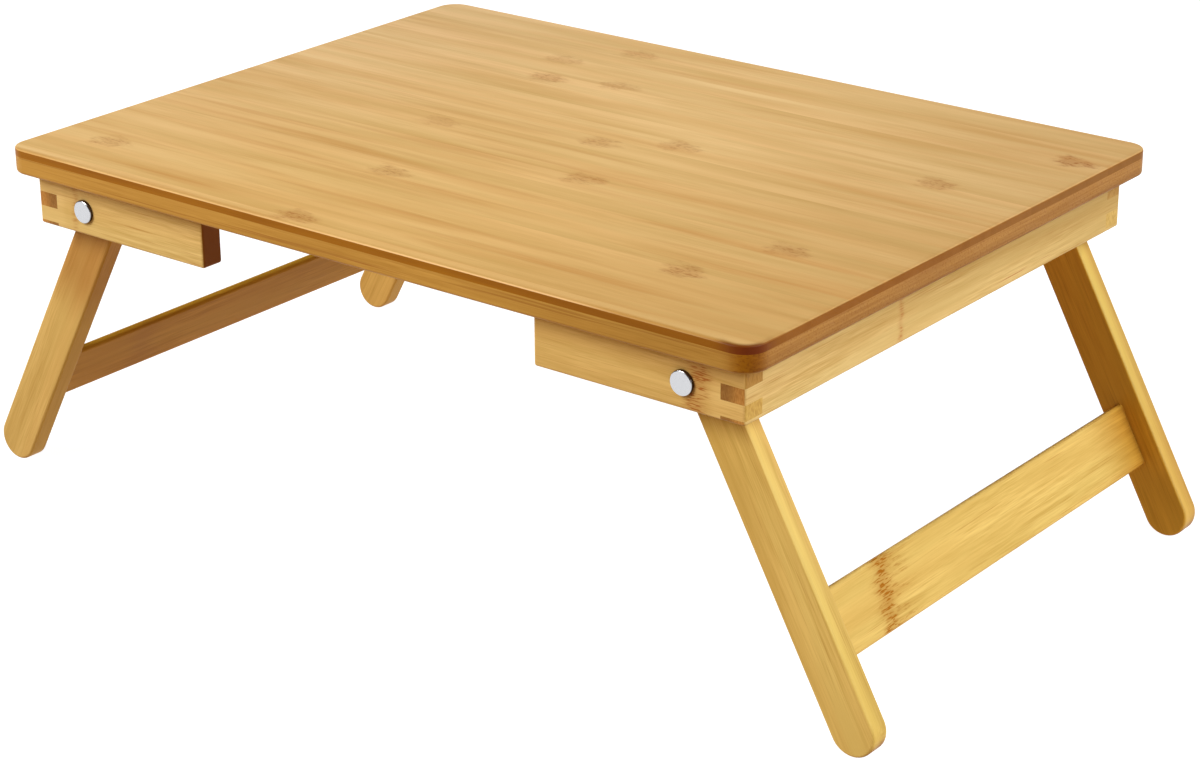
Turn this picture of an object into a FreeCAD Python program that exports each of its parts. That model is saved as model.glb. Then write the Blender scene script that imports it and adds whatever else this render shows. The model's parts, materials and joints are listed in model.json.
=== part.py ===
import FreeCAD, Part
import math
import os

# Folding bamboo bed tray, in millimetres: +X along the length, +Y to the back, +Z up.
# The origin is on the floor, under the middle of the top. The legs stand open.

# Top, glued from two plies
top_length = 500.0
top_depth = 376.0
face_ply_thickness = 4.4
core_thickness = 10.0
top_corner_radius = 12.5
top_upper_arris = 1.0
top_lower_arris = 2.0

# Apron under each end: an end rail and two side rails with finger joints
end_overhang = 11.3
side_overhang = 11.8
rail_height = 30.6
rail_thickness = 14.0
side_rail_length = 126.0
rail_arris = 1.5
finger_height = 8.2
lowest_finger_height = 2.4

# Legs, half round at both ends
leg_width = 25.6
leg_thickness = 12.0
leg_arris = 1.5
pivot_setback = 35.8
pivot_drop = 16.8
stop_gap = 0.2
folded_gap = 8.0

# Stretcher slat of each leg frame, with a stub tenon at both ends
stretcher_width = 35.8
stretcher_thickness = 5.0
stretcher_arris = 2.0
stretcher_above_foot = 48.2
stretcher_inset = 1.5
tenon_length = 7.0
tenon_shoulder = 3.5
glue_gap = 0.05

# Pivot: a capped barrel from outside, a screw and washer from inside, a spacer washer between
barrel_radius = 4.0
barrel_cap_radius = 6.5
barrel_cap_height = 2.0
barrel_cap_arris = 0.8
barrel_bore_depth = 16.0
pivot_screw_radius = 2.5
pivot_screw_length = 14.0
pivot_head_radius = 5.0
pivot_head_height = 2.8
pivot_head_arris = 1.0
pivot_socket_width = 3.0
pivot_socket_depth = 1.6
washer_radius = 8.0
screw_washer_thickness = 1.0
spacer_thickness = 0.5
fixed_clearance = 0.05
running_clearance = 0.075
side_play = 0.1

# Wood screws from below, sunk into the rails
wood_screw_radius = 2.0
wood_screw_length = 30.0
wood_screw_bite = 8.0
wood_screw_tip = 3.0
wood_head_radius = 3.75
wood_head_height = 2.6
wood_head_arris = 0.8
wood_slot_width = 1.0
wood_slot_length = 4.4
wood_slot_depth = 1.3
counterbore_clearance = 0.4
end_screw_spacing = 125.0
side_screw_inset = 22.0

# Places that follow from the sizes above
top_thickness = face_ply_thickness + core_thickness
apron_x = top_length / 2 - end_overhang
apron_y = top_depth / 2 - side_overhang
rail_inner_x = apron_x - rail_thickness
rail_inner_y = apron_y - rail_thickness
rail_free_x = apron_x - side_rail_length
pivot_x = apron_x - pivot_setback
leg_reach = pivot_x - leg_width / 2 - folded_gap / 2

# An open leg leans on the rounded lower inner arris of the end rail, which sets its angle
arris_x = pivot_setback - rail_thickness + rail_arris
arris_drop = rail_height - pivot_drop - rail_arris
arris_distance = math.hypot(arris_x, arris_drop)
lean_distance = leg_width / 2 + stop_gap + rail_arris
open_angle = math.acos(lean_distance / arris_distance) - math.atan2(arris_drop, arris_x)

pivot_z = leg_reach * math.cos(open_angle) + leg_width / 2
underside_z = pivot_z + pivot_drop
top_z = underside_z + top_thickness
ply_z = top_z - face_ply_thickness
rail_bottom_z = underside_z - rail_height

# Distances from a side rail's outer face towards the middle of the tray
leg_outer = rail_thickness + spacer_thickness + side_play
leg_inner = leg_outer + leg_thickness
barrel_end = leg_inner + side_play
screw_head_seat = barrel_end + screw_washer_thickness
leg_outer_y = apron_y - leg_outer
leg_inner_y = apron_y - leg_inner

x_axis = FreeCAD.Vector(1, 0, 0)
y_axis = FreeCAD.Vector(0, 1, 0)
z_axis = FreeCAD.Vector(0, 0, 1)
origin = FreeCAD.Vector(0, 0, 0)


def block(x0, x1, y0, y1, z0, z1):
    return Part.makeBox(x1 - x0, y1 - y0, z1 - z0, FreeCAD.Vector(x0, y0, z0))


def rod(radius, start, length, axis):
    return Part.makeCylinder(radius, length, start, axis)


def edges_where(shape, test):
    """The edges whose middle and both ends all pass the test."""
    chosen = []
    for edge in shape.Edges:
        middle = edge.valueAt((edge.FirstParameter + edge.LastParameter) / 2)
        points = [vertex.Point for vertex in edge.Vertexes] + [middle]
        if all(test(point) for point in points):
            chosen.append(edge)
    return chosen


def near(a, b):
    return abs(a - b) < 1e-4


def round_arris(shape, radius, test):
    return shape.makeFillet(radius, edges_where(shape, test))


def mirrored_left(shape):
    return shape.mirror(origin, x_axis)


def mirrored_rear(shape):
    return shape.mirror(origin, y_axis)


def make_top():
    """The whole top, with its rounded corners and arrises, before it is cut into plies."""
    hx = top_length / 2
    hy = top_depth / 2
    board = block(-hx, hx, -hy, hy, underside_z, top_z)
    uprights = edges_where(board, lambda p: near(abs(p.x), hx) and near(abs(p.y), hy))
    board = board.makeFillet(top_corner_radius, uprights)
    board = round_arris(board, top_upper_arris, lambda p: near(p.z, top_z))
    return round_arris(board, top_lower_arris, lambda p: near(p.z, underside_z))


def make_plies():
    board = make_top()
    hx = top_length / 2
    hy = top_depth / 2
    face = board.common(block(-hx, hx, -hy, hy, ply_z, top_z))
    core = board.common(block(-hx, hx, -hy, hy, underside_z, ply_z))
    return face, core


def make_right_apron():
    """The right apron as one U, before it is cut into its rails."""
    z0 = rail_bottom_z
    z1 = underside_z
    end = block(rail_inner_x, apron_x, -apron_y, apron_y, z0, z1)
    front = block(rail_free_x, apron_x, -apron_y, -rail_inner_y, z0, z1)
    rear = mirrored_rear(front)
    apron = end.fuse([front, rear]).removeSplitter()
    uprights = edges_where(
        apron,
        lambda p: (near(p.x, apron_x) and near(abs(p.y), apron_y)) or near(p.x, rail_free_x),
    )
    uprights = [edge for edge in uprights if near(abs(edge.tangentAt(edge.FirstParameter).z), 1)]
    lower = edges_where(apron, lambda p: near(p.z, z0))
    return apron.makeFillet(rail_arris, uprights + lower)


def finger_levels():
    """Heights of the side rails' fingers above the rails' underside, lowest first."""
    levels = []
    low = lowest_finger_height
    while low < rail_height:
        levels.append((low, min(low + finger_height, rail_height)))
        low += 2 * finger_height
    return levels


def make_front_fingers():
    """Blocks that hold the front side rail's fingers in the right front corner."""
    return [
        block(rail_inner_x, apron_x, -apron_y, -rail_inner_y,
              rail_bottom_z + low, rail_bottom_z + high)
        for low, high in finger_levels()
    ]


def make_right_rails():
    """End rail and front side rail, flush at their finger joint."""
    apron = make_right_apron()
    fingers = make_front_fingers()
    rear_fingers = [mirrored_rear(finger) for finger in fingers]
    end_zone = block(rail_inner_x, apron_x, -apron_y, apron_y, rail_bottom_z, underside_z)
    side_zone = block(rail_free_x, rail_inner_x, -apron_y, -rail_inner_y,
                      rail_bottom_z, underside_z)
    end_rail = apron.common(end_zone).cut(fingers + rear_fingers)
    side_rail = apron.common(side_zone.fuse(fingers)).removeSplitter()
    return end_rail, side_rail


def wood_screw_places():
    """Axes of the right apron's screws, in the end rail and in both side rails."""
    end_x = apron_x - rail_thickness / 2
    side_x = rail_free_x + side_screw_inset
    side_y = apron_y - rail_thickness / 2
    places = [(end_x, y) for y in (-end_screw_spacing, 0.0, end_screw_spacing)]
    return places + [(side_x, -side_y), (side_x, side_y)]


def make_wood_screw(x, y):
    """Pan-head screw that points up, its head on the floor of the counterbore."""
    seat_z = underside_z + wood_screw_bite - wood_screw_length
    head_z = seat_z - wood_head_height
    head = rod(wood_head_radius, FreeCAD.Vector(x, y, head_z), wood_head_height, z_axis)
    head = round_arris(head, wood_head_arris, lambda p: near(p.z, head_z))
    half = wood_slot_length / 2
    wide = wood_slot_width / 2
    slot_top = head_z + wood_slot_depth
    cross = [
        block(x - half, x + half, y - wide, y + wide, head_z, slot_top),
        block(x - wide, x + wide, y - half, y + half, head_z, slot_top),
    ]
    straight = wood_screw_length - wood_screw_tip
    shank = rod(wood_screw_radius, FreeCAD.Vector(x, y, seat_z), straight, z_axis)
    tip_start = FreeCAD.Vector(x, y, seat_z + straight)
    tip = Part.makeCone(wood_screw_radius, 0, wood_screw_tip, tip_start, z_axis)
    return head.cut(cross).fuse([shank, tip]).removeSplitter()


def wood_screw_holes(x, y):
    """Counterbore, clearance hole and pilot hole for one wood screw."""
    seat_z = underside_z + wood_screw_bite - wood_screw_length
    bore_radius = wood_head_radius + counterbore_clearance
    hole_radius = wood_screw_radius + fixed_clearance
    start = FreeCAD.Vector(x, y, rail_bottom_z)
    bore = rod(bore_radius, start, seat_z - rail_bottom_z, z_axis)
    hole = rod(hole_radius, FreeCAD.Vector(x, y, seat_z), wood_screw_length, z_axis)
    return bore.fuse(hole)


def make_right_front_leg():
    """One leg: a flat bar with half-round ends, bored at the pivot and mortised for the slat."""
    half = leg_width / 2
    upper_left = FreeCAD.Vector(-half, 0, 0)
    upper_right = FreeCAD.Vector(half, 0, 0)
    lower_left = FreeCAD.Vector(-half, 0, -leg_reach)
    lower_right = FreeCAD.Vector(half, 0, -leg_reach)
    crown = FreeCAD.Vector(0, 0, half)
    foot = FreeCAD.Vector(0, 0, -leg_reach - half)
    outline = Part.Wire([
        Part.Arc(upper_left, crown, upper_right).toShape(),
        Part.LineSegment(upper_right, lower_right).toShape(),
        Part.Arc(lower_right, foot, lower_left).toShape(),
        Part.LineSegment(lower_left, upper_left).toShape(),
    ])
    bar = Part.Face(outline).extrude(y_axis * leg_thickness)
    bar = round_arris(bar, leg_arris, lambda p: near(p.y, 0) or near(p.y, leg_thickness))
    bore = rod(barrel_radius + running_clearance, origin, leg_thickness, y_axis)
    mortise_floor = leg_thickness - tenon_length - glue_gap
    mortise = make_slat_bar(tenon_shoulder - glue_gap, glue_gap, mortise_floor, leg_thickness)
    leg = bar.cut([bore, mortise])
    return place_in_right_frame(leg, -leg_outer_y)


def make_slat_bar(shoulder, growth, y0, y1):
    """Bar along Y with the slat's section, in the leg's own frame with the pivot at its origin."""
    middle_z = stretcher_above_foot - leg_reach
    half_height = stretcher_width / 2 - shoulder
    half_thickness = stretcher_thickness / 2 + growth
    x0 = -stretcher_inset - half_thickness
    x1 = -stretcher_inset + half_thickness
    bar = block(x0, x1, y0, y1, middle_z - half_height, middle_z + half_height)
    return bar.makeFillet(stretcher_arris, lengthwise_edges(bar))


def lengthwise_edges(shape):
    return [e for e in shape.Edges if near(abs(e.tangentAt(e.FirstParameter).y), 1)]


def place_in_right_frame(shape, y):
    """Lean a piece outward by the open angle about the right pivot."""
    shape = shape.copy()
    shape.rotate(origin, y_axis, -math.degrees(open_angle))
    shape.translate(FreeCAD.Vector(pivot_x, y, pivot_z))
    return shape


def make_right_stretcher():
    slat = make_slat_bar(0.0, 0.0, -leg_inner_y, leg_inner_y)
    tenon_end = leg_inner_y + tenon_length
    tenons = make_slat_bar(tenon_shoulder, 0.0, -tenon_end, tenon_end)
    return place_in_right_frame(slat.fuse(tenons).removeSplitter(), 0.0)


def right_front_pivot(shape):
    """Move a piece made about the Y axis from the outer face of a rail to its pivot."""
    shape = shape.copy()
    shape.translate(FreeCAD.Vector(pivot_x, -apron_y, pivot_z))
    return shape


def at_depth(depth):
    return FreeCAD.Vector(0, depth, 0)


def make_barrel():
    """Smooth cap on the rail's face, and a tube through rail and leg, bored for the screw."""
    cap = rod(barrel_cap_radius, at_depth(-barrel_cap_height), barrel_cap_height, y_axis)
    cap = round_arris(cap, barrel_cap_arris, lambda p: near(p.y, -barrel_cap_height))
    shank = rod(barrel_radius, origin, barrel_end, y_axis)
    bore_start = at_depth(barrel_end - barrel_bore_depth)
    bore = rod(pivot_screw_radius + fixed_clearance, bore_start, barrel_bore_depth, y_axis)
    return right_front_pivot(cap.fuse(shank).removeSplitter().cut(bore))


def make_pivot_screw():
    """Pan-head screw with a hexagon socket, its head on the inner washer."""
    head_end = screw_head_seat + pivot_head_height
    head = rod(pivot_head_radius, at_depth(screw_head_seat), pivot_head_height, y_axis)
    head = round_arris(head, pivot_head_arris, lambda p: near(p.y, head_end))
    corner_radius = pivot_socket_width / math.sqrt(3)
    corners = []
    for step in range(7):
        turn = math.radians(60 * step)
        corner = FreeCAD.Vector(math.cos(turn), 0, math.sin(turn)) * corner_radius
        corners.append(corner + at_depth(head_end - pivot_socket_depth))
    hexagon = Part.Face(Part.makePolygon(corners))
    socket = hexagon.extrude(y_axis * pivot_socket_depth)
    shank_start = at_depth(screw_head_seat - pivot_screw_length)
    shank = rod(pivot_screw_radius, shank_start, pivot_screw_length, y_axis)
    return right_front_pivot(head.cut(socket).fuse(shank).removeSplitter())


def make_washer(hole_radius, depth, thickness):
    disc = rod(washer_radius, at_depth(depth), thickness, y_axis)
    hole = rod(hole_radius, at_depth(depth), thickness, y_axis)
    return right_front_pivot(disc.cut(hole))


def at_all_pivots(shape):
    """Copies of a right front piece, named by the pivot they belong to."""
    rear = mirrored_rear(shape)
    return {
        "right_front": shape,
        "right_rear": rear,
        "left_front": mirrored_left(shape),
        "left_rear": mirrored_left(rear),
    }


def make_top_pieces():
    face, core = make_plies()
    holes = [wood_screw_holes(x, y) for x, y in wood_screw_places()]
    holes += [mirrored_left(hole) for hole in holes]
    bitten = [hole.common(block(-top_length, top_length, -top_depth, top_depth,
                                underside_z, underside_z + wood_screw_bite))
              for hole in holes]
    return {"tabletop_face_ply": face, "tabletop_core": core.cut(bitten)}


def make_rail_pieces():
    end_rail, side_rail = make_right_rails()
    holes = [wood_screw_holes(x, y) for x, y in wood_screw_places()]
    pivot_bore = right_front_pivot(
        rod(barrel_radius + fixed_clearance, origin, rail_thickness, y_axis))
    end_rail = end_rail.cut(holes)
    side_rail = side_rail.cut(holes + [pivot_bore])
    pieces = {"right_end_rail": end_rail, "left_end_rail": mirrored_left(end_rail)}
    for place, rail in at_all_pivots(side_rail).items():
        pieces[place + "_rail"] = rail
    return pieces


def make_leg_pieces():
    stretcher = make_right_stretcher()
    pieces = {"right_stretcher": stretcher, "left_stretcher": mirrored_left(stretcher)}
    for place, leg in at_all_pivots(make_right_front_leg()).items():
        pieces[place + "_leg"] = leg
    return pieces


def make_hardware():
    pieces = {}
    for place, barrel in at_all_pivots(make_barrel()).items():
        pieces[place + "_barrel"] = barrel
    screw_washer = make_washer(pivot_screw_radius + fixed_clearance, barrel_end,
                               screw_washer_thickness)
    spacer = make_washer(barrel_radius + fixed_clearance, rail_thickness, spacer_thickness)
    groups = {
        "pivot_screws": make_pivot_screw(),
        "pivot_screw_washers": screw_washer,
        "spacer_washers": spacer,
    }
    for name, piece in groups.items():
        pieces[name] = Part.makeCompound(list(at_all_pivots(piece).values()))
    wood_screws = [make_wood_screw(x, y) for x, y in wood_screw_places()]
    wood_screws += [mirrored_left(screw) for screw in wood_screws]
    pieces["apron_screws"] = Part.makeCompound(wood_screws)
    return pieces


def main():
    os.makedirs("parts", exist_ok=True)
    pieces = {}
    pieces.update(make_top_pieces())
    pieces.update(make_rail_pieces())
    pieces.update(make_leg_pieces())
    pieces.update(make_hardware())
    for name, shape in pieces.items():
        shape.exportStep("parts/" + name + ".step")
        size = shape.BoundBox
        print(name, len(shape.Solids), "solids", round(shape.Volume), "mm3", shape.isValid(),
              [round(v, 2) for v in (size.XMin, size.YMin, size.ZMin,
                                     size.XMax, size.YMax, size.ZMax)])
    print("open angle", round(math.degrees(open_angle), 3), "leg reach", round(leg_reach, 3),
          "pivot", round(pivot_x, 3), round(pivot_z, 3), "height", round(top_z, 3))


main()
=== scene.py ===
import json
import math

import bpy
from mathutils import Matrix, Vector


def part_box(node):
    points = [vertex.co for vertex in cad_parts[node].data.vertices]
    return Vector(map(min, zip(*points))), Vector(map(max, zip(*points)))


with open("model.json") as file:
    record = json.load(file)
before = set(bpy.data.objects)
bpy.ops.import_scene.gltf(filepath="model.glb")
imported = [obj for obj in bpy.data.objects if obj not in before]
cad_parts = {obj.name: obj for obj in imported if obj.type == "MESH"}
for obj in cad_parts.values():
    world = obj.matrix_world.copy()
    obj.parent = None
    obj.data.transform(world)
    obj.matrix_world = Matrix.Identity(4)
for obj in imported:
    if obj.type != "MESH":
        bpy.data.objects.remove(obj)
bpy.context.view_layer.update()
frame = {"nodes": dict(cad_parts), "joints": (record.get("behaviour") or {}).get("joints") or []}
nodes = frame["nodes"]

# Distances in the frame are metres, and the wood's patterns are worked out in millimetres
MM = 1000.0
X = Vector((1.0, 0.0, 0.0))
Y = Vector((0.0, 1.0, 0.0))
Z = Vector((0.0, 0.0, 1.0))

# Pivots and lean of the legs, read from the frame
PIVOT = {
    joint["child"].removesuffix("_legs"): Vector(joint["pos_m"]) for joint in frame["joints"]
}
LEG_HALF_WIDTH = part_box("right_front_leg")[1].z - PIVOT["right"].z
LEG_RISE = PIVOT["right"].z - LEG_HALF_WIDTH
LEG_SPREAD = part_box("right_front_leg")[1].x - LEG_HALF_WIDTH - PIVOT["right"].x
OPEN_ANGLE = math.atan2(LEG_SPREAD, LEG_RISE)

# Board of the top in millimetres, read from the frame apart from the radius of its corners
BOARD_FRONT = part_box("tabletop_face_ply")[0].y * MM
BOARD_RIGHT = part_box("tabletop_face_ply")[1].x * MM
BOARD_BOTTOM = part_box("tabletop_core")[0].z * MM
BOARD_CORNER = 12.5

# Camera, as fitted to the photograph: metres, degrees and millimetres
CAMERA_PLACE = (0.97414, -1.22097, 0.70928)
CAMERA_TURN = (67.70382, 0.34335, 38.00154)
CAMERA_LENS = 89.9706
SENSOR_WIDTH = 36.0

# Soft square lights, fitted to the photograph: name, place in metres, watts
LIGHTS = (
    ("key_light", (-1.065, -1.844, 1.591), 66.0),
    ("right_light", (2.356, 0.0, 1.199), 41.0),
    ("back_light", (1.725, 0.996, 1.771), 25.0),
)
LIGHT_SIZE = 1.3
LIGHT_AIM = Vector((0.0, 0.0, 0.1))

# Light of the world below the horizon and above it
GLOW_BELOW = (0.53, 0.32, 0.14)
DIM_ABOVE = (0.07, 0.07, 0.07)

# Half the floor's width in metres, and the strength of its own light
FLOOR_HALF = 60.0
FLOOR_GLOW = 0.97

# Factors of a tone change that leave the colour as it is
UNCHANGED = (1.0, 1.0, 1.0)


def srgb(red, green, blue):
    """A colour given in 0 to 255 display values, as a linear RGBA tuple."""
    values = []
    for part in (red, green, blue):
        part = part / 255.0
        values.append(part / 12.92 if part <= 0.04045 else ((part + 0.055) / 1.055) ** 2.4)
    return (*values, 1.0)


CONSTANT_SOCKETS = {
    "metallic": "Metallic",
    "specular_ior_level": "Specular IOR Level",
    "emission_color": "Emission Color",
    "emission_strength": "Emission Strength",
}


class Graph:
    """One material and short ways to add nodes to it."""

    def __init__(self, name):
        self.material = bpy.data.materials.new(name)
        self.material.use_nodes = True
        self.tree = self.material.node_tree
        self.tree.nodes.clear()

    def add(self, kind, feeds, output=0, **settings):
        node = self.tree.nodes.new("ShaderNode" + kind)
        for key, value in settings.items():
            setattr(node, key, value)
        for key, value in feeds.items():
            if isinstance(value, bpy.types.NodeSocket):
                self.tree.links.new(value, node.inputs[key])
            else:
                node.inputs[key].default_value = value
        return node.outputs[output]

    def math(self, operation, *values, clamp=False):
        feeds = dict(enumerate(values))
        return self.add("Math", feeds, operation=operation, use_clamp=clamp)

    def smooth(self, value, low, high, start=0.0, end=1.0):
        """Eases from start to end while value goes from low to high."""
        feeds = {0: value, 1: low, 2: high, 3: start, 4: end}
        return self.add("MapRange", feeds, interpolation_type="SMOOTHSTEP")

    def mix(self, factor, a, b, blend="MIX"):
        return self.add("Mix", {0: factor, 6: a, 7: b}, output=2, data_type="RGBA",
                        blend_type=blend)

    def mix_value(self, factor, a, b):
        """a where the factor is 0, b where it is 1."""
        return self.add("Mix", {0: factor, 2: a, 3: b}, data_type="FLOAT", clamp_factor=False)

    def product(self, *values):
        result = values[0]
        for value in values[1:]:
            result = self.math("MULTIPLY", result, value)
        return result

    def shade(self, weight, colour, factors):
        """The colour times the factors where the weight is 1, and unchanged where it is 0."""
        return self.mix(weight, colour, (*factors, 1.0), blend="MULTIPLY")

    def dot(self, vector, direction):
        return self.add("VectorMath", {0: vector, 1: tuple(direction)}, output=1,
                        operation="DOT_PRODUCT")

    def join(self, x, y, z):
        return self.add("CombineXYZ", {0: x, 1: y, 2: z})

    def noise(self, x, y, z, detail=2.0):
        feeds = {"Vector": self.join(x, y, z), "Scale": 1.0, "Detail": detail}
        return self.add("TexNoise", feeds)

    def random(self, value):
        return self.add("TexWhiteNoise", {"W": value}, noise_dimensions="1D")

    def divide(self, value, length):
        return self.math("DIVIDE", value, length)

    def bell(self, value, width):
        """1 at zero, falling off smoothly on both sides over about the width."""
        ratio = self.divide(value, width)
        return self.math("POWER", math.e, self.product(ratio, ratio, -1.0))

    def finish(self, colour, roughness, normal=None, **constants):
        feeds = {"Base Color": colour, "Roughness": roughness}
        if normal is not None:
            feeds["Normal"] = normal
        for key, value in constants.items():
            feeds[CONSTANT_SOCKETS[key]] = value
        shader = self.add("BsdfPrincipled", feeds)
        surface = self.tree.nodes.new("ShaderNodeOutputMaterial").inputs["Surface"]
        self.tree.links.new(shader, surface)
        return self.material


class Grain:
    """Coordinates of a piece of bamboo, in millimetres: along the fibres, across, and deep."""

    def __init__(self, graph, along, across, origin, seed):
        self.graph = graph
        coordinates = graph.tree.nodes.new("ShaderNodeTexCoord")
        moved = graph.add("VectorMath", {0: coordinates.outputs["Object"], 1: tuple(origin)},
                          operation="SUBTRACT")
        place = graph.add("VectorMath", {0: moved, "Scale": MM}, operation="SCALE")
        deep = along.cross(across)
        self.u = graph.dot(place, along)
        self.v = graph.dot(place, across)
        self.w = graph.dot(place, deep)
        self.normal = coordinates.outputs["Normal"]
        self.seed = seed

    def streaks(self, length, width, shift=0.0, detail=2.0, u=None):
        """Noise drawn out along the fibres: streaks of about this length and width."""
        g = self.graph
        u = self.u if u is None else u
        x = g.math("ADD", g.divide(u, length), self.seed + shift)
        y = g.math("ADD", g.divide(self.v, width), self.seed * 1.7)
        z = g.divide(self.w, width)
        return g.noise(x, y, z, detail)

    def faces(self, direction, low=0.5, high=0.9, both_ways=False):
        """1 where the surface faces the direction, or also its opposite, easing to 0."""
        amount = self.graph.dot(self.normal, direction)
        if both_ways:
            amount = self.graph.math("ABSOLUTE", amount)
        return self.graph.smooth(amount, low, high)


def scaled(colour, factors):
    return srgb(*[value * factor for value, factor in zip(colour, factors)])


def blended_tone(g, parts):
    """Sum of noises about their middle, each with its own weight, around one half."""
    total = 0.5
    for part, weight in parts:
        centred = g.math("SUBTRACT", part, 0.5)
        total = g.math("MULTIPLY_ADD", centred, weight, total)
    return total


def largest(g, values):
    result = values[0]
    for value in values[1:]:
        result = g.math("MAXIMUM", result, value)
    return result


def tone_change(g, shown, place, low, high, start, end):
    """Slow change of tone between two places: the colour times start, then times end."""
    factor = g.mix(g.smooth(place, low, high), (*start, 1.0), (*end, 1.0))
    return g.mix(1.0, shown, factor, blend="MULTIPLY")


def ring_spot(g, grain, u, v, strength):
    """Soft patch where one strip of the top has its growth ring, bent like the real ring."""
    length, width = 15.0, 10.0
    du = g.math("SUBTRACT", grain.u, u)
    dv = g.divide(g.math("SUBTRACT", grain.v, v), width)
    bend = g.product(dv, dv, length * 0.4)
    du = g.divide(g.math("ADD", du, bend), length)
    wander = grain.streaks(9.0, 4.0, shift=u)
    square = g.math("MULTIPLY_ADD", dv, dv, g.product(du, du))
    square = g.math("MULTIPLY_ADD", g.math("SUBTRACT", wander, 0.5), 2.0, square)
    return g.smooth(square, 0.0, 1.1, strength, 0.0)


def ring_band(g, grain, u, slant, width, tail, strength):
    """Growth ring right across a piece, at a distance u along it, with a streaky tail."""
    wander = grain.streaks(30.0, 6.0, shift=u)
    du = g.math("SUBTRACT", grain.u, u)
    du = g.math("MULTIPLY_ADD", grain.v, -slant, du)
    du = g.math("MULTIPLY_ADD", g.math("SUBTRACT", wander, 0.5), width * 2.0, du)
    ring = g.bell(du, width)
    if tail:
        ragged = grain.streaks(60.0, 1.4, shift=u + 5.0)
        reach = g.smooth(ragged, 0.35, 0.7, 0.2 * tail, tail)
        fade = g.smooth(g.divide(du, reach), 0.0, 1.0, 0.6, 0.0)
        after = g.math("GREATER_THAN", du, 0.0)
        ring = g.math("MAXIMUM", ring, g.product(fade, after))
    return g.product(ring, strength)


# Factors for the tones within a piece of bamboo
LIGHTER_FIBRES = (1.07, 1.08, 1.12)
DARKER_FIBRES = (0.92, 0.88, 0.78)
WARMER = (1.01, 0.988, 0.97, 1.0)
COOLER = (0.99, 1.008, 1.0, 1.0)
LIGHTER_PORES = (1.05, 1.07, 1.10)
DARKER_PORES = (0.94, 0.91, 0.86)

# Factors of the painted shade in hollows, and how near in metres the surfaces around them lie
HOLLOW_SHADE = (0.62, 0.48, 0.30)
HOLLOW_SHADE_REACH = 0.012

# Most millimetres by which the grain of one strip is shifted against the next
STRIP_SHIFT = 700.0


def bamboo(name, along, across, colour, origin=(0.0, 0.0, 0.0), seed=1.0, contrast=1.0,
           strip_width=None, spots=(), bands=(), tint=0.25, dash=(5.0, 0.9), dash_strength=0.5,
           ring_colour=(158, 96, 36), end_colour=(160, 108, 50), pore=(2.5, 0.7),
           finish_more=None):
    """Satin lacquered bamboo: fibres, strips, growth rings, darker cut ends, and painted shade in
    hollows.
    """
    g = Graph(name)
    grain = Grain(g, along, across, origin, seed)
    u = grain.u
    parts = []
    if strip_width:
        strip = g.math("FLOOR", g.divide(grain.v, strip_width))
        chance = g.random(g.math("ADD", strip, seed * 13.0))
        parts.append((chance, 0.16))
        u = g.math("MULTIPLY_ADD", chance, STRIP_SHIFT, u)
    broad = grain.streaks(150.0, 12.0, shift=3.0, u=u)
    medium = grain.streaks(60.0, 2.2, shift=7.0, detail=3.0, u=u)
    fine = grain.streaks(16.0, 0.6, shift=11.0, detail=1.0, u=u)
    patch = g.smooth(grain.streaks(90.0, 22.0, shift=31.0, u=u), 0.35, 0.65, 0.35, 1.3)
    parts += [(broad, 0.8), (g.mix_value(patch, 0.5, medium), 0.55 * contrast),
              (g.mix_value(patch, 0.5, fine), 0.4 * contrast)]
    tone = blended_tone(g, parts)
    shown = g.mix(g.smooth(tone, 0.0, 1.0), scaled(colour, DARKER_FIBRES),
                  scaled(colour, LIGHTER_FIBRES))
    warmth = grain.streaks(220.0, 16.0, shift=23.0, u=u)
    warmth = g.mix(g.smooth(warmth, 0.35, 0.65), WARMER, COOLER)
    shown = g.mix(1.0, shown, warmth, blend="MULTIPLY")
    lines = g.smooth(grain.streaks(45.0, 0.8, shift=19.0, u=u), 0.60, 0.78)
    shown = g.mix(g.product(lines, patch, 0.35 * contrast), shown, srgb(*ring_colour))
    height = g.math("MULTIPLY_ADD", fine, 0.5, medium)
    marks = [ring_spot(g, grain, *spot) for spot in spots]
    marks += [ring_band(g, grain, *band) for band in bands]
    if marks:
        mark = largest(g, marks)
        dashes = g.smooth(grain.streaks(*dash, shift=29.0, detail=1.0), 0.47, 0.68)
        stroke = g.product(mark, dashes, dash_strength)
        amount = g.math("MULTIPLY_ADD", mark, tint, stroke, clamp=True)
        shown = g.mix(amount, shown, srgb(*ring_colour))
        height = g.math("SUBTRACT", height, stroke)
    pores = g.noise(g.divide(grain.u, 2.0), g.divide(grain.v, pore[0]),
                    g.divide(grain.w, pore[1]))
    cut = g.mix(g.smooth(pores, 0.3, 0.7), scaled(end_colour, DARKER_PORES),
                scaled(end_colour, LIGHTER_PORES))
    shown = g.mix(grain.faces(along, 0.55, both_ways=True), shown, cut)
    if finish_more:
        shown = finish_more(g, grain, shown, tone)
    # Painted shade in hollows: ambient occlusion darkens the colour where other surfaces lie near
    hollow = g.add("AmbientOcclusion", {"Distance": HOLLOW_SHADE_REACH}, output=1, samples=6)
    shown = g.mix(g.smooth(hollow, 0.0, 0.85), g.shade(1.0, shown, HOLLOW_SHADE), shown)
    normal = g.add("Bump", {"Strength": 0.2, "Distance": 0.0001, "Height": height})
    roughness = g.smooth(tone, 0.0, 1.0, 0.52, 0.42)
    return g.finish(shown, roughness, normal, specular_ior_level=0.12)


def object_place(g):
    """Where a point lies on the object, in millimetres, and which way its surface faces."""
    coordinates = g.tree.nodes.new("ShaderNodeTexCoord")
    place = g.add("VectorMath", {0: coordinates.outputs["Object"], "Scale": MM}, operation="SCALE")
    return place, coordinates.outputs["Normal"]


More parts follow.
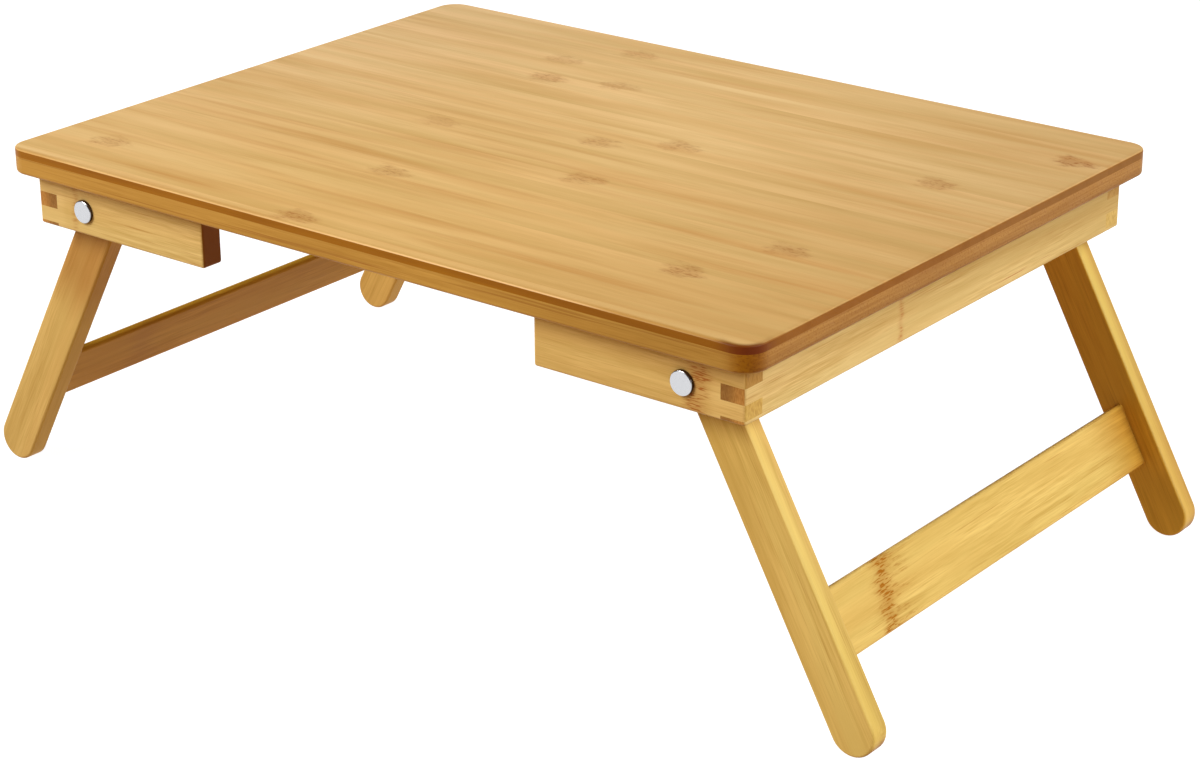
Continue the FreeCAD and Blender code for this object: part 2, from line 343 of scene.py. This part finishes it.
def steel(name, base, roughness, spread):
    """Plated steel, a little uneven, and darker where it faces neither front nor rear, as painted
    shade and reflection of the wood.
    """
    g = Graph(name)
    place, facing = object_place(g)
    cloud = g.add("TexNoise", {"Vector": place, "Scale": 0.8, "Detail": 4.0})
    rough = g.smooth(cloud, 0.3, 0.7, roughness - spread, roughness + spread)
    colour = g.mix(cloud, scaled(base, (0.96, 0.96, 0.96)), srgb(*base))
    # Painted shade and reflection on the sides that face neither front nor rear
    end = g.smooth(g.math("ABSOLUTE", g.dot(facing, Y)), 0.2, 0.8)
    colour = g.mix(end, scaled(base, (0.42, 0.38, 0.38)), colour)
    normal = g.add("Bump", {"Strength": 0.05, "Distance": 0.00005, "Height": cloud})
    return g.finish(colour, rough, normal, metallic=1.0)


def nylon(name):
    """Off-white nylon with a fine grit."""
    g = Graph(name)
    place, _ = object_place(g)
    grit = g.add("TexNoise", {"Vector": place, "Scale": 3.0, "Detail": 3.0})
    colour = g.mix(grit, srgb(228, 225, 217), srgb(242, 240, 234))
    normal = g.add("Bump", {"Strength": 0.15, "Distance": 0.00005, "Height": grit})
    return g.finish(colour, 0.55, normal)


def paint(node, material):
    for slot in nodes[node].material_slots:
        slot.material = material


# Growth rings that show on the top: millimetres right and back from its middle, strength
TOP_SPOTS = (
    (-41, -177, 0.9), (-88, -11, 0.6), (-94, 92, 0.9), (40, -42, 0.8), (-50, 104, 0.6),
    (46, 33, 0.7), (7, 13, 0.7), (165, -123, 0.9), (189, -69, 0.8), (193, 63, 0.8),
    (-52, -94, 0.7), (-80, 162, 0.6), (232, 138, 1.3), (-209, -147, 0.8), (-109, 127, 0.6),
)

# Colours of the top's plies, in display values
FACE_PLY = (226, 187, 124)
FACE_STREAK = (194, 134, 68)
# Painted highlight along the front arris
ARRIS_HIGHLIGHT = (246, 200, 140)
# Painted shade on the arris and the rim at the right front corner
CORNER_ARRIS_SHADE = (150, 92, 30)
CORNER_RIM_SHADE = (100, 42, 0)
PLY_SIDE = ((130, 75, 3), (160, 103, 12))
PLY_END = ((134, 80, 6), (134, 89, 26))
CORE_PLY = (184, 140, 63)
CORE_END = (174, 126, 61)
CORE_LINE = (140, 86, 24)

# Stretches along the front arris, in millimetres, where the painted highlight starts, grows and
# ends
HIGHLIGHT_START = (-225.0, -170.0)
HIGHLIGHT_GROWTH = (-60.0, 60.0)
HIGHLIGHT_END = (135.0, 180.0)

# Painted light on the top, millimetres from its middle, factors before and after: a painted sheen
# toward the rear and the left, and painted shade toward the right on the face, the ply's side and
# the core
FACE_SHEEN_REARWARD = (-190.0, 170.0, (0.93, 0.90, 0.82), (1.04, 1.06, 1.16))
FACE_SHEEN_FROM_LEFT = (-240.0, -60.0, (1.03, 1.05, 1.15), UNCHANGED)
FACE_SHADE_TO_RIGHT = (0.0, 270.0, UNCHANGED, (0.83, 0.81, 0.78))
PLY_SIDE_SHADE_TO_RIGHT = (110.0, 220.0, UNCHANGED, (0.80, 0.74, 0.5))
CORE_SHADE_TO_RIGHT = (100.0, 220.0, UNCHANGED, (0.86, 0.84, 0.82))

# Factors of the darker rim, and of the core's lower edge between two heights
DARKER_RIM = (0.78, 0.66, 0.46)
CORE_LOW = (BOARD_BOTTOM, BOARD_BOTTOM + 7.5)
CORE_LOWER_EDGE = (0.80, 0.76, 0.70)

# Painted shade at the right front corner of each ply: its reach in millimetres, and its factors
FACE_CORNER_SHADE = (24.0, (0.52, 0.24, 0.02))
CORE_CORNER_SHADE = (18.0, (0.67, 0.47, 0.05))


def corner_distance(g, grain, inset=0.0):
    """Millimetres to the right front corner of the top, or to a point that far in from it."""
    du = g.math("SUBTRACT", grain.u, BOARD_RIGHT - inset)
    dv = g.math("SUBTRACT", grain.v, BOARD_FRONT + inset)
    return g.math("SQRT", g.math("MULTIPLY_ADD", du, du, g.product(dv, dv)))


def corner_shade(g, grain, shown, side, reach, factors):
    """Painted brown shade round the right front corner."""
    clear = g.smooth(corner_distance(g, grain), 5.0, reach)
    return g.shade(g.product(g.math("SUBTRACT", 1.0, clear), side), shown, factors)


def near_edge_rim(g, grain):
    """Where the top is darker within a few millimetres of its front and right edges."""
    toward_left = g.smooth(grain.u, -225.0, -180.0, 0.8, 0.3)
    toward_right = g.smooth(grain.u, 140.0, 175.0, 0.3, 1.0)
    near_front = g.product(g.smooth(grain.v, BOARD_FRONT + 1.0, BOARD_FRONT + 4.0, 1.0, 0.0),
                           g.math("MAXIMUM", toward_left, toward_right))
    near_right = g.smooth(grain.u, BOARD_RIGHT - 4.0, BOARD_RIGHT - 1.0, 0.0, 0.22)
    return g.math("MAXIMUM", near_front, near_right)


def rim_shade_at_corner(g, grain):
    """Painted shade on the edge of the top at its right front corner, less so round to the right
    end.
    """
    from_centre = corner_distance(g, grain, BOARD_CORNER)
    out = g.smooth(from_centre, BOARD_CORNER - 4.0, BOARD_CORNER + 0.3)
    near = g.smooth(corner_distance(g, grain), 12.0, 22.0, 1.0, 0.0)
    front = g.smooth(grain.v, BOARD_FRONT + 7.0, BOARD_FRONT + 13.0, 0.92, 0.3)
    return g.product(out, near, front)


def highlight_along_arris(g, grain):
    """How strong the painted highlight is along the front arris."""
    return g.product(grain.faces(-Y, 0.1, 0.3), g.smooth(grain.u, *HIGHLIGHT_START),
                     g.smooth(grain.u, *HIGHLIGHT_GROWTH, 0.25, 0.6),
                     g.smooth(grain.u, *HIGHLIGHT_END, 1.0, 0.0))


def upper_ply_side(g, grain, tone):
    """Dark brown of the upper ply's side, with painted shade deeper toward the right front corner.
    """
    dark, light = PLY_SIDE
    brown = g.mix(g.smooth(tone, 0.2, 0.8), srgb(*dark), srgb(*light))
    brown = tone_change(g, brown, grain.u, *PLY_SIDE_SHADE_TO_RIGHT)
    near, far = PLY_END
    end = g.mix(g.smooth(grain.v, -100.0, 120.0), srgb(*near), srgb(*far))
    end_grain = grain.faces(X, 0.25, 0.7, both_ways=True)
    return g.mix(g.product(end_grain, 0.7), brown, end)


def finish_face_ply(g, grain, shown, tone):
    """Painted sheen and shade over the top, its darker rim, painted shade at the right front
    corner, a painted highlight along the front arris, and its dark side.
    """
    shown = tone_change(g, shown, grain.v, *FACE_SHEEN_REARWARD)
    shown = tone_change(g, shown, grain.u, *FACE_SHEEN_FROM_LEFT)
    shown = tone_change(g, shown, grain.u, *FACE_SHADE_TO_RIGHT)
    shown = g.shade(near_edge_rim(g, grain), shown, DARKER_RIM)
    streak = g.smooth(grain.streaks(170.0, 7.0, shift=51.0, detail=3.0), 0.48, 0.72)
    more_in_front = g.smooth(grain.v, -190.0, 120.0, 0.45, 0.25)
    shown = g.mix(g.product(streak, more_in_front), shown, srgb(*FACE_STREAK))
    up = g.dot(grain.normal, Z)
    arris = g.product(g.smooth(up, 0.30, 0.5), g.smooth(up, 0.85, 0.97, 1.0, 0.0))
    # Painted shade on the arris near the right front corner
    arris_shade_at_corner = g.product(arris, g.smooth(corner_distance(g, grain), 12.0, 36.0, 0.8, 0.0))
    shown = g.mix(arris_shade_at_corner, shown, srgb(*CORNER_ARRIS_SHADE))
    shown = g.mix(rim_shade_at_corner(g, grain), shown, srgb(*CORNER_RIM_SHADE))
    shown = g.mix(g.product(arris, highlight_along_arris(g, grain)), shown, srgb(*ARRIS_HIGHLIGHT))
    side = g.smooth(up, 0.25, 0.45, 1.0, 0.0)
    shown = g.mix(side, shown, upper_ply_side(g, grain, tone))
    return corner_shade(g, grain, shown, side, *FACE_CORNER_SHADE)


def finish_core(g, grain, shown, tone):
    """Glue lines between the strips of the lower ply, painted shade toward the right, its darker
    lower edge, and painted shade at its corner.
    """
    upright = g.smooth(g.math("ABSOLUTE", g.dot(grain.normal, Z)), 0.3, 0.7, 1.0, 0.0)
    lines = g.smooth(grain.streaks(120.0, 1.1, shift=41.0, detail=1.0), 0.52, 0.70)
    shown = g.mix(g.product(lines, upright, 0.5), shown, srgb(*CORE_LINE))
    shown = tone_change(g, shown, grain.u, *CORE_SHADE_TO_RIGHT)
    low = g.smooth(grain.w, *CORE_LOW, 1.0, 0.0)
    shown = g.shade(g.product(low, grain.faces(X)), shown, CORE_LOWER_EDGE)
    return corner_shade(g, grain, shown, upright, *CORE_CORNER_SHADE)


def finish_top():
    paint("tabletop_face_ply", bamboo(
        "face_ply_bamboo", X, Y, FACE_PLY, seed=1.0, contrast=0.5, strip_width=20.0,
        spots=TOP_SPOTS, tint=0.32, dash=(3.0, 1.1), dash_strength=0.4,
        ring_colour=(164, 96, 38), pore=(60.0, 1.2), finish_more=finish_face_ply))
    paint("tabletop_core", bamboo(
        "core_bamboo", X, Y, CORE_PLY, seed=5.0, contrast=1.4, strip_width=20.0,
        end_colour=CORE_END, pore=(60.0, 1.2), finish_more=finish_core))


# Growth rings across a piece: millimetres along it, slant, width, tail, strength
END_RAIL_RING = (-43.5, 0.0, 2.0, 0.0, 1.3)
SIDE_RAIL_RINGS = {
    ("left", "front"): ((-210.0, 0.1, 2.5, 0.0, 0.5),),
    ("left", "rear"): ((-150.0, 0.1, 4.0, 0.0, 0.8),),
    ("right", "front"): ((212.0, 0.15, 6.0, 0.0, 1.4),),
    ("right", "rear"): (),
}
SLAT_RINGS = {"left": (-84.0, 0.0, 10.0, 0.0, 0.5), "right": (-99.0, -0.34, 6.5, 44.0, 1.15)}

# Colours of the rails, in display values
END_RAIL = (207, 178, 112)
END_RAIL_END = (170, 118, 54)
SIDE_RAILS = {
    ("left", "front"): (208, 177, 110),
    ("left", "rear"): (210, 172, 102),
    ("right", "front"): (209, 174, 103),
    ("right", "rear"): (210, 172, 102),
}
SIDE_RAIL_END = {"front": (198, 156, 86), "rear": (204, 166, 98)}
FREE_END = (138, 84, 22)
CONTACT_SHADOW_LINE = (112, 62, 14)

# Tone changes of the rails: millimetres from the middle of the tray and of the rail's height; on
# the end rails and on the side rails' end grain they are painted shade, deeper toward the rear,
# the far end and the board
END_RAIL_SHADE_REARWARD = (-120.0, 60.0, (1.04, 1.05, 1.08), (0.97, 0.96, 0.93))
END_RAIL_SHADE_FAR = (60.0, 140.0, UNCHANGED, (0.90, 0.88, 0.82))
END_RAIL_SHADE_UPWARD = (-13.0, 3.0, (1.03, 1.07, 1.18), (0.90, 0.90, 0.92))
SIDE_RAIL_OUTWARD = (216.0, 222.0, UNCHANGED, (1.06, 1.08, 1.15))
SIDE_RAIL_END_SHADE_UPWARD = (-4.0, 5.0, (0.89, 0.94, 0.77), (0.66, 0.59, 0.42))

# Fingers of the end rails, from their inner to their outer edge: millimetres, factors
FINGER_OUTWARD = (228.0, 236.0, 0.72, 1.15)

# Millimetres that the painted shade under the board reaches down the rails, and its factors
BOARD_SHADE_REACH = 7.0
BOARD_SHADE = (0.82, 0.76, 0.66)


def under_board(g, shown, height, top):
    """Painted contact shadow line against the board, and a painted soft shade below it."""
    shown = tone_change(g, shown, height, top - BOARD_SHADE_REACH, top, UNCHANGED, BOARD_SHADE)
    return g.mix(g.smooth(height, top - 1.3, top - 0.5, 0.0, 0.6), shown, srgb(*CONTACT_SHADOW_LINE))


def finish_rails():
    """Side rails show end grain beside the end rail, and are dark on their free ends."""
    low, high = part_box("right_front_rail")
    middle = Vector((0.0, 0.0, (low.z + high.z) / 2))
    top = (high.z - low.z) / 2 * MM

    def finish_end_rail(g, grain, shown, tone):
        """Painted shade, deeper toward the rear, the far end and the board; its fingers' ends
        paler at their outer edge.
        """
        shown = tone_change(g, shown, grain.u, *END_RAIL_SHADE_REARWARD)
        shown = tone_change(g, shown, grain.v, *END_RAIL_SHADE_UPWARD)
        finger = g.smooth(g.math("ABSOLUTE", grain.w), *FINGER_OUTWARD)
        finger = g.mix(1.0, shown, finger, blend="MULTIPLY")
        shown = g.mix(grain.faces(Y, both_ways=True), shown, finger)
        shown = tone_change(g, shown, grain.u, *END_RAIL_SHADE_FAR)
        return under_board(g, shown, grain.v, top)

    for side, sign in (("left", -1.0), ("right", 1.0)):
        paint(side + "_end_rail", bamboo(
            side + "_end_rail_bamboo", Y, Z, END_RAIL, origin=middle, seed=9.0 + sign,
            contrast=2.0, end_colour=END_RAIL_END, bands=(END_RAIL_RING,),
            ring_colour=(180, 122, 62), finish_more=finish_end_rail))

        def finish_side_rail(g, grain, shown, tone):
            """Paler at its outer end, with painted shade on the end grain there, and dark at its
            free end.
            """
            shown = under_board(g, shown, grain.v, top)
            shown = tone_change(g, shown, g.math("ABSOLUTE", grain.u), *SIDE_RAIL_OUTWARD)
            shaded = tone_change(g, shown, grain.v, *SIDE_RAIL_END_SHADE_UPWARD)
            shown = g.mix(grain.faces(X * sign), shown, shaded)
            return g.mix(grain.faces(X * -sign), shown, srgb(*FREE_END))

        for depth, turn in (("front", -1.0), ("rear", 1.0)):
            paint(f"{side}_{depth}_rail", bamboo(
                f"{side}_{depth}_rail_bamboo", X, Z, SIDE_RAILS[side, depth], origin=middle,
                seed=20.0 + 3.0 * sign + turn, contrast=1.6, end_colour=SIDE_RAIL_END[depth],
                ring_colour=(164, 100, 40), dash=(6.0, 0.8), dash_strength=0.8,
                bands=SIDE_RAIL_RINGS[side, depth], finish_more=finish_side_rail))


# Colours of the legs and slats, in display values
LEGS = {
    ("left", "front"): (192, 150, 78),
    ("left", "rear"): (191, 143, 69),
    ("right", "front"): (211, 177, 98),
    ("right", "rear"): (207, 168, 92),
}
SLATS = {"left": (194, 149, 46), "right": (218, 187, 106)}
SLAT_RING_COLOURS = {"left": (150, 92, 36), "right": (166, 102, 12)}
SLAT_DASHES = {"left": 0.1, "right": 0.7}
# Painted highlight on the legs' outer arris
LEG_ARRIS_HIGHLIGHT = (236, 206, 112)

# Tone changes down the legs: millimetres from the pivot, factors above and below; the change down
# the whole leg is painted shade under the board
LEG_SHADE_CHANGES = {
    "left": (50.0, 90.0, (0.87, 0.80, 0.78), (1.13, 1.28, 1.55)),
    "right": (30.0, 150.0, (0.95, 0.93, 0.88), (1.04, 1.08, 1.10)),
}
OUTER_CHANGES = {
    "front": (50.0, 180.0, (1.05, 1.10, 1.25), (0.93, 0.93, 0.88)),
    "rear": (50.0, 180.0, (0.94, 1.0, 1.0), (0.86, 0.79, 0.68)),
}

# Painted warm bounce light on the inner sides of the left legs, and painted warm shade on the
# right rear leg's front
INNER_BOUNCE_LIGHT = 0.15
INNER_BOUNCE_LIGHT_COLOUR = (0.95, 0.55, 0.0, 1.0)
REAR_LEG_SHADE = (1.0, 0.86, 0.36)

# Millimetres of each slat before its rear leg that turn browner, and the factors
SLAT_SHADE_REACH = 48.0
SLAT_SHADE = (0.68, 0.50, 0.20)


def finish_legs():
    """Legs get lighter toward the foot, where the painted shade under the board fades, and the
    arris of the outer side has a painted highlight stripe.
    """
    low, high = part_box("right_stretcher")
    middle = (low + high) / 2 - PIVOT["right"]
    slat_middle = middle.x * math.sin(OPEN_ANGLE) - middle.z * math.cos(OPEN_ANGLE)
    for side, sign in (("left", -1.0), ("right", 1.0)):
        down = Vector((sign * math.sin(OPEN_ANGLE), 0.0, -math.cos(OPEN_ANGLE)))
        out = Vector((sign * math.cos(OPEN_ANGLE), 0.0, math.sin(OPEN_ANGLE)))
        for depth, turn in (("front", -1.0), ("rear", 1.0)):
            front = -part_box(f"{side}_{depth}_leg")[0].y * MM * sign

            def finish_leg(g, grain, shown, tone):
                """Painted shade down the leg, painted warm light and shade on its shaded faces, a
                painted highlight on its outer side, and tones there.
                """
                shown = tone_change(g, shown, grain.u, *LEG_SHADE_CHANGES[side])
                if side == "left":
                    # Painted warm bounce light on the inner sides
                    inner = g.product(grain.faces(-out), INNER_BOUNCE_LIGHT)
                    shown = g.mix(inner, shown, INNER_BOUNCE_LIGHT_COLOUR, blend="SCREEN")
                elif depth == "rear":
                    # Painted warm shade on the front
                    shown = g.shade(grain.faces(-Y), shown, REAR_LEG_SHADE)
                inset = g.math("ABSOLUTE", g.math("SUBTRACT", grain.w, front))
                outer = grain.faces(out, 0.4, 0.7)
                # Painted highlight along the front arris of the outer side
                highlight_stripe = g.product(g.smooth(inset, 3.5, 9.0, 0.5, 0.0), outer)
                shown = g.mix(highlight_stripe, shown, srgb(*LEG_ARRIS_HIGHLIGHT))
                changed = tone_change(g, shown, grain.u, *OUTER_CHANGES[depth])
                return g.mix(outer, shown, changed)

            paint(f"{side}_{depth}_leg", bamboo(
                f"{side}_{depth}_leg_bamboo", down, out, LEGS[side, depth], origin=PIVOT[side],
                seed=40.0 + 3.0 * sign + turn, contrast=1.4, finish_more=finish_leg))
        slat_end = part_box(side + "_rear_leg")[0].y * MM

        def finish_slat(g, grain, shown, tone):
            """Browner toward the rear leg."""
            return tone_change(g, shown, grain.u, slat_end - SLAT_SHADE_REACH, slat_end,
                               UNCHANGED, SLAT_SHADE)

        paint(side + "_stretcher", bamboo(
            side + "_stretcher_bamboo", Y, down, SLATS[side],
            origin=PIVOT[side] + down * slat_middle, seed=60.0 + sign, contrast=1.7,
            tint=0.4, dash=(5.0, 0.7), dash_strength=SLAT_DASHES[side],
            ring_colour=SLAT_RING_COLOURS[side], bands=(SLAT_RINGS[side],),
            finish_more=finish_slat))


def finish_hardware():
    polished = steel("polished_barrel_steel", (190, 191, 194), 0.2, 0.04)
    zinc = steel("zinc_screw_steel", (178, 180, 182), 0.38, 0.06)
    for side in ("left", "right"):
        for depth in ("front", "rear"):
            paint(f"{side}_{depth}_barrel", polished)
    for node in ("pivot_screws", "pivot_screw_washers", "apron_screws"):
        paint(node, zinc)
    paint("spacer_washers", nylon("spacer_nylon"))


def link(item):
    bpy.context.scene.collection.objects.link(item)
    return item


def make_floor():
    """Wide white floor, lit from within so that the tray throws next to no shadow on it."""
    half = FLOOR_HALF
    corners = ((-half, -half, 0), (half, -half, 0), (half, half, 0), (-half, half, 0))
    mesh = bpy.data.meshes.new("floor")
    mesh.from_pydata(corners, [], [(0, 1, 2, 3)])
    floor = link(bpy.data.objects.new("floor", mesh))
    g = Graph("floor_paint")
    coordinates = g.tree.nodes.new("ShaderNodeTexCoord")
    cloud = g.add("TexNoise", {"Vector": coordinates.outputs["Object"], "Scale": 2.0})
    colour = g.mix(cloud, (0.28, 0.28, 0.28, 1.0), (0.32, 0.32, 0.32, 1.0))
    mesh.materials.append(g.finish(colour, 0.9, emission_color=(1.0, 1.0, 1.0, 1.0),
                                   emission_strength=FLOOR_GLOW))
    g.material.cycles.emission_sampling = "NONE"
    floor.visible_diffuse = False
    floor.visible_shadow = False


def make_lights():
    for name, place, power in LIGHTS:
        light = bpy.data.lights.new(name, "AREA")
        light.size = LIGHT_SIZE
        light.energy = power
        item = link(bpy.data.objects.new(name, light))
        item.location = place
        aim = LIGHT_AIM - Vector(place)
        item.rotation_euler = aim.to_track_quat("-Z", "Y").to_euler()


def make_world():
    """Dim above, and below the horizon the warm light that the wood throws back; seen white."""
    world = bpy.data.worlds.new("studio")
    bpy.context.scene.world = world
    world.use_nodes = True
    tree = world.node_tree
    coordinates = tree.nodes.new("ShaderNodeTexCoord")
    split = tree.nodes.new("ShaderNodeSeparateXYZ")
    ramp = tree.nodes.new("ShaderNodeValToRGB")
    tree.links.new(coordinates.outputs["Generated"], split.inputs[0])
    height = tree.nodes.new("ShaderNodeMapRange")
    height.inputs["From Min"].default_value = -1.0
    tree.links.new(split.outputs["Z"], height.inputs["Value"])
    tree.links.new(height.outputs[0], ramp.inputs["Fac"])
    path = tree.nodes.new("ShaderNodeLightPath")
    seen = tree.nodes.new("ShaderNodeMix")
    seen.data_type = "RGBA"
    seen.inputs[7].default_value = (1.0, 1.0, 1.0, 1.0)
    tree.links.new(path.outputs["Is Camera Ray"], seen.inputs[0])
    tree.links.new(ramp.outputs["Color"], seen.inputs[6])
    tree.links.new(seen.outputs[2], tree.nodes["Background"].inputs["Color"])
    stops = ((0.0, GLOW_BELOW), (0.47, GLOW_BELOW), (0.5, DIM_ABOVE), (1.0, DIM_ABOVE))
    elements = ramp.color_ramp.elements
    while len(elements) < len(stops):
        elements.new(0.5)
    for element, (place, colour) in zip(elements, stops):
        element.position = place
        element.color = (*colour, 1.0)


def make_camera():
    camera = bpy.data.cameras.new("camera")
    camera.sensor_fit = "HORIZONTAL"
    camera.sensor_width = SENSOR_WIDTH
    camera.lens = CAMERA_LENS
    item = link(bpy.data.objects.new("camera", camera))
    item.location = CAMERA_PLACE
    item.rotation_euler = [math.radians(turn) for turn in CAMERA_TURN]
    bpy.context.scene.camera = item


finish_top()
finish_rails()
finish_legs()
finish_hardware()
make_floor()
make_world()
make_lights()
make_camera()
bpy.context.scene.view_settings.view_transform = "Standard"
bpy.context.scene.view_settings.look = "None"
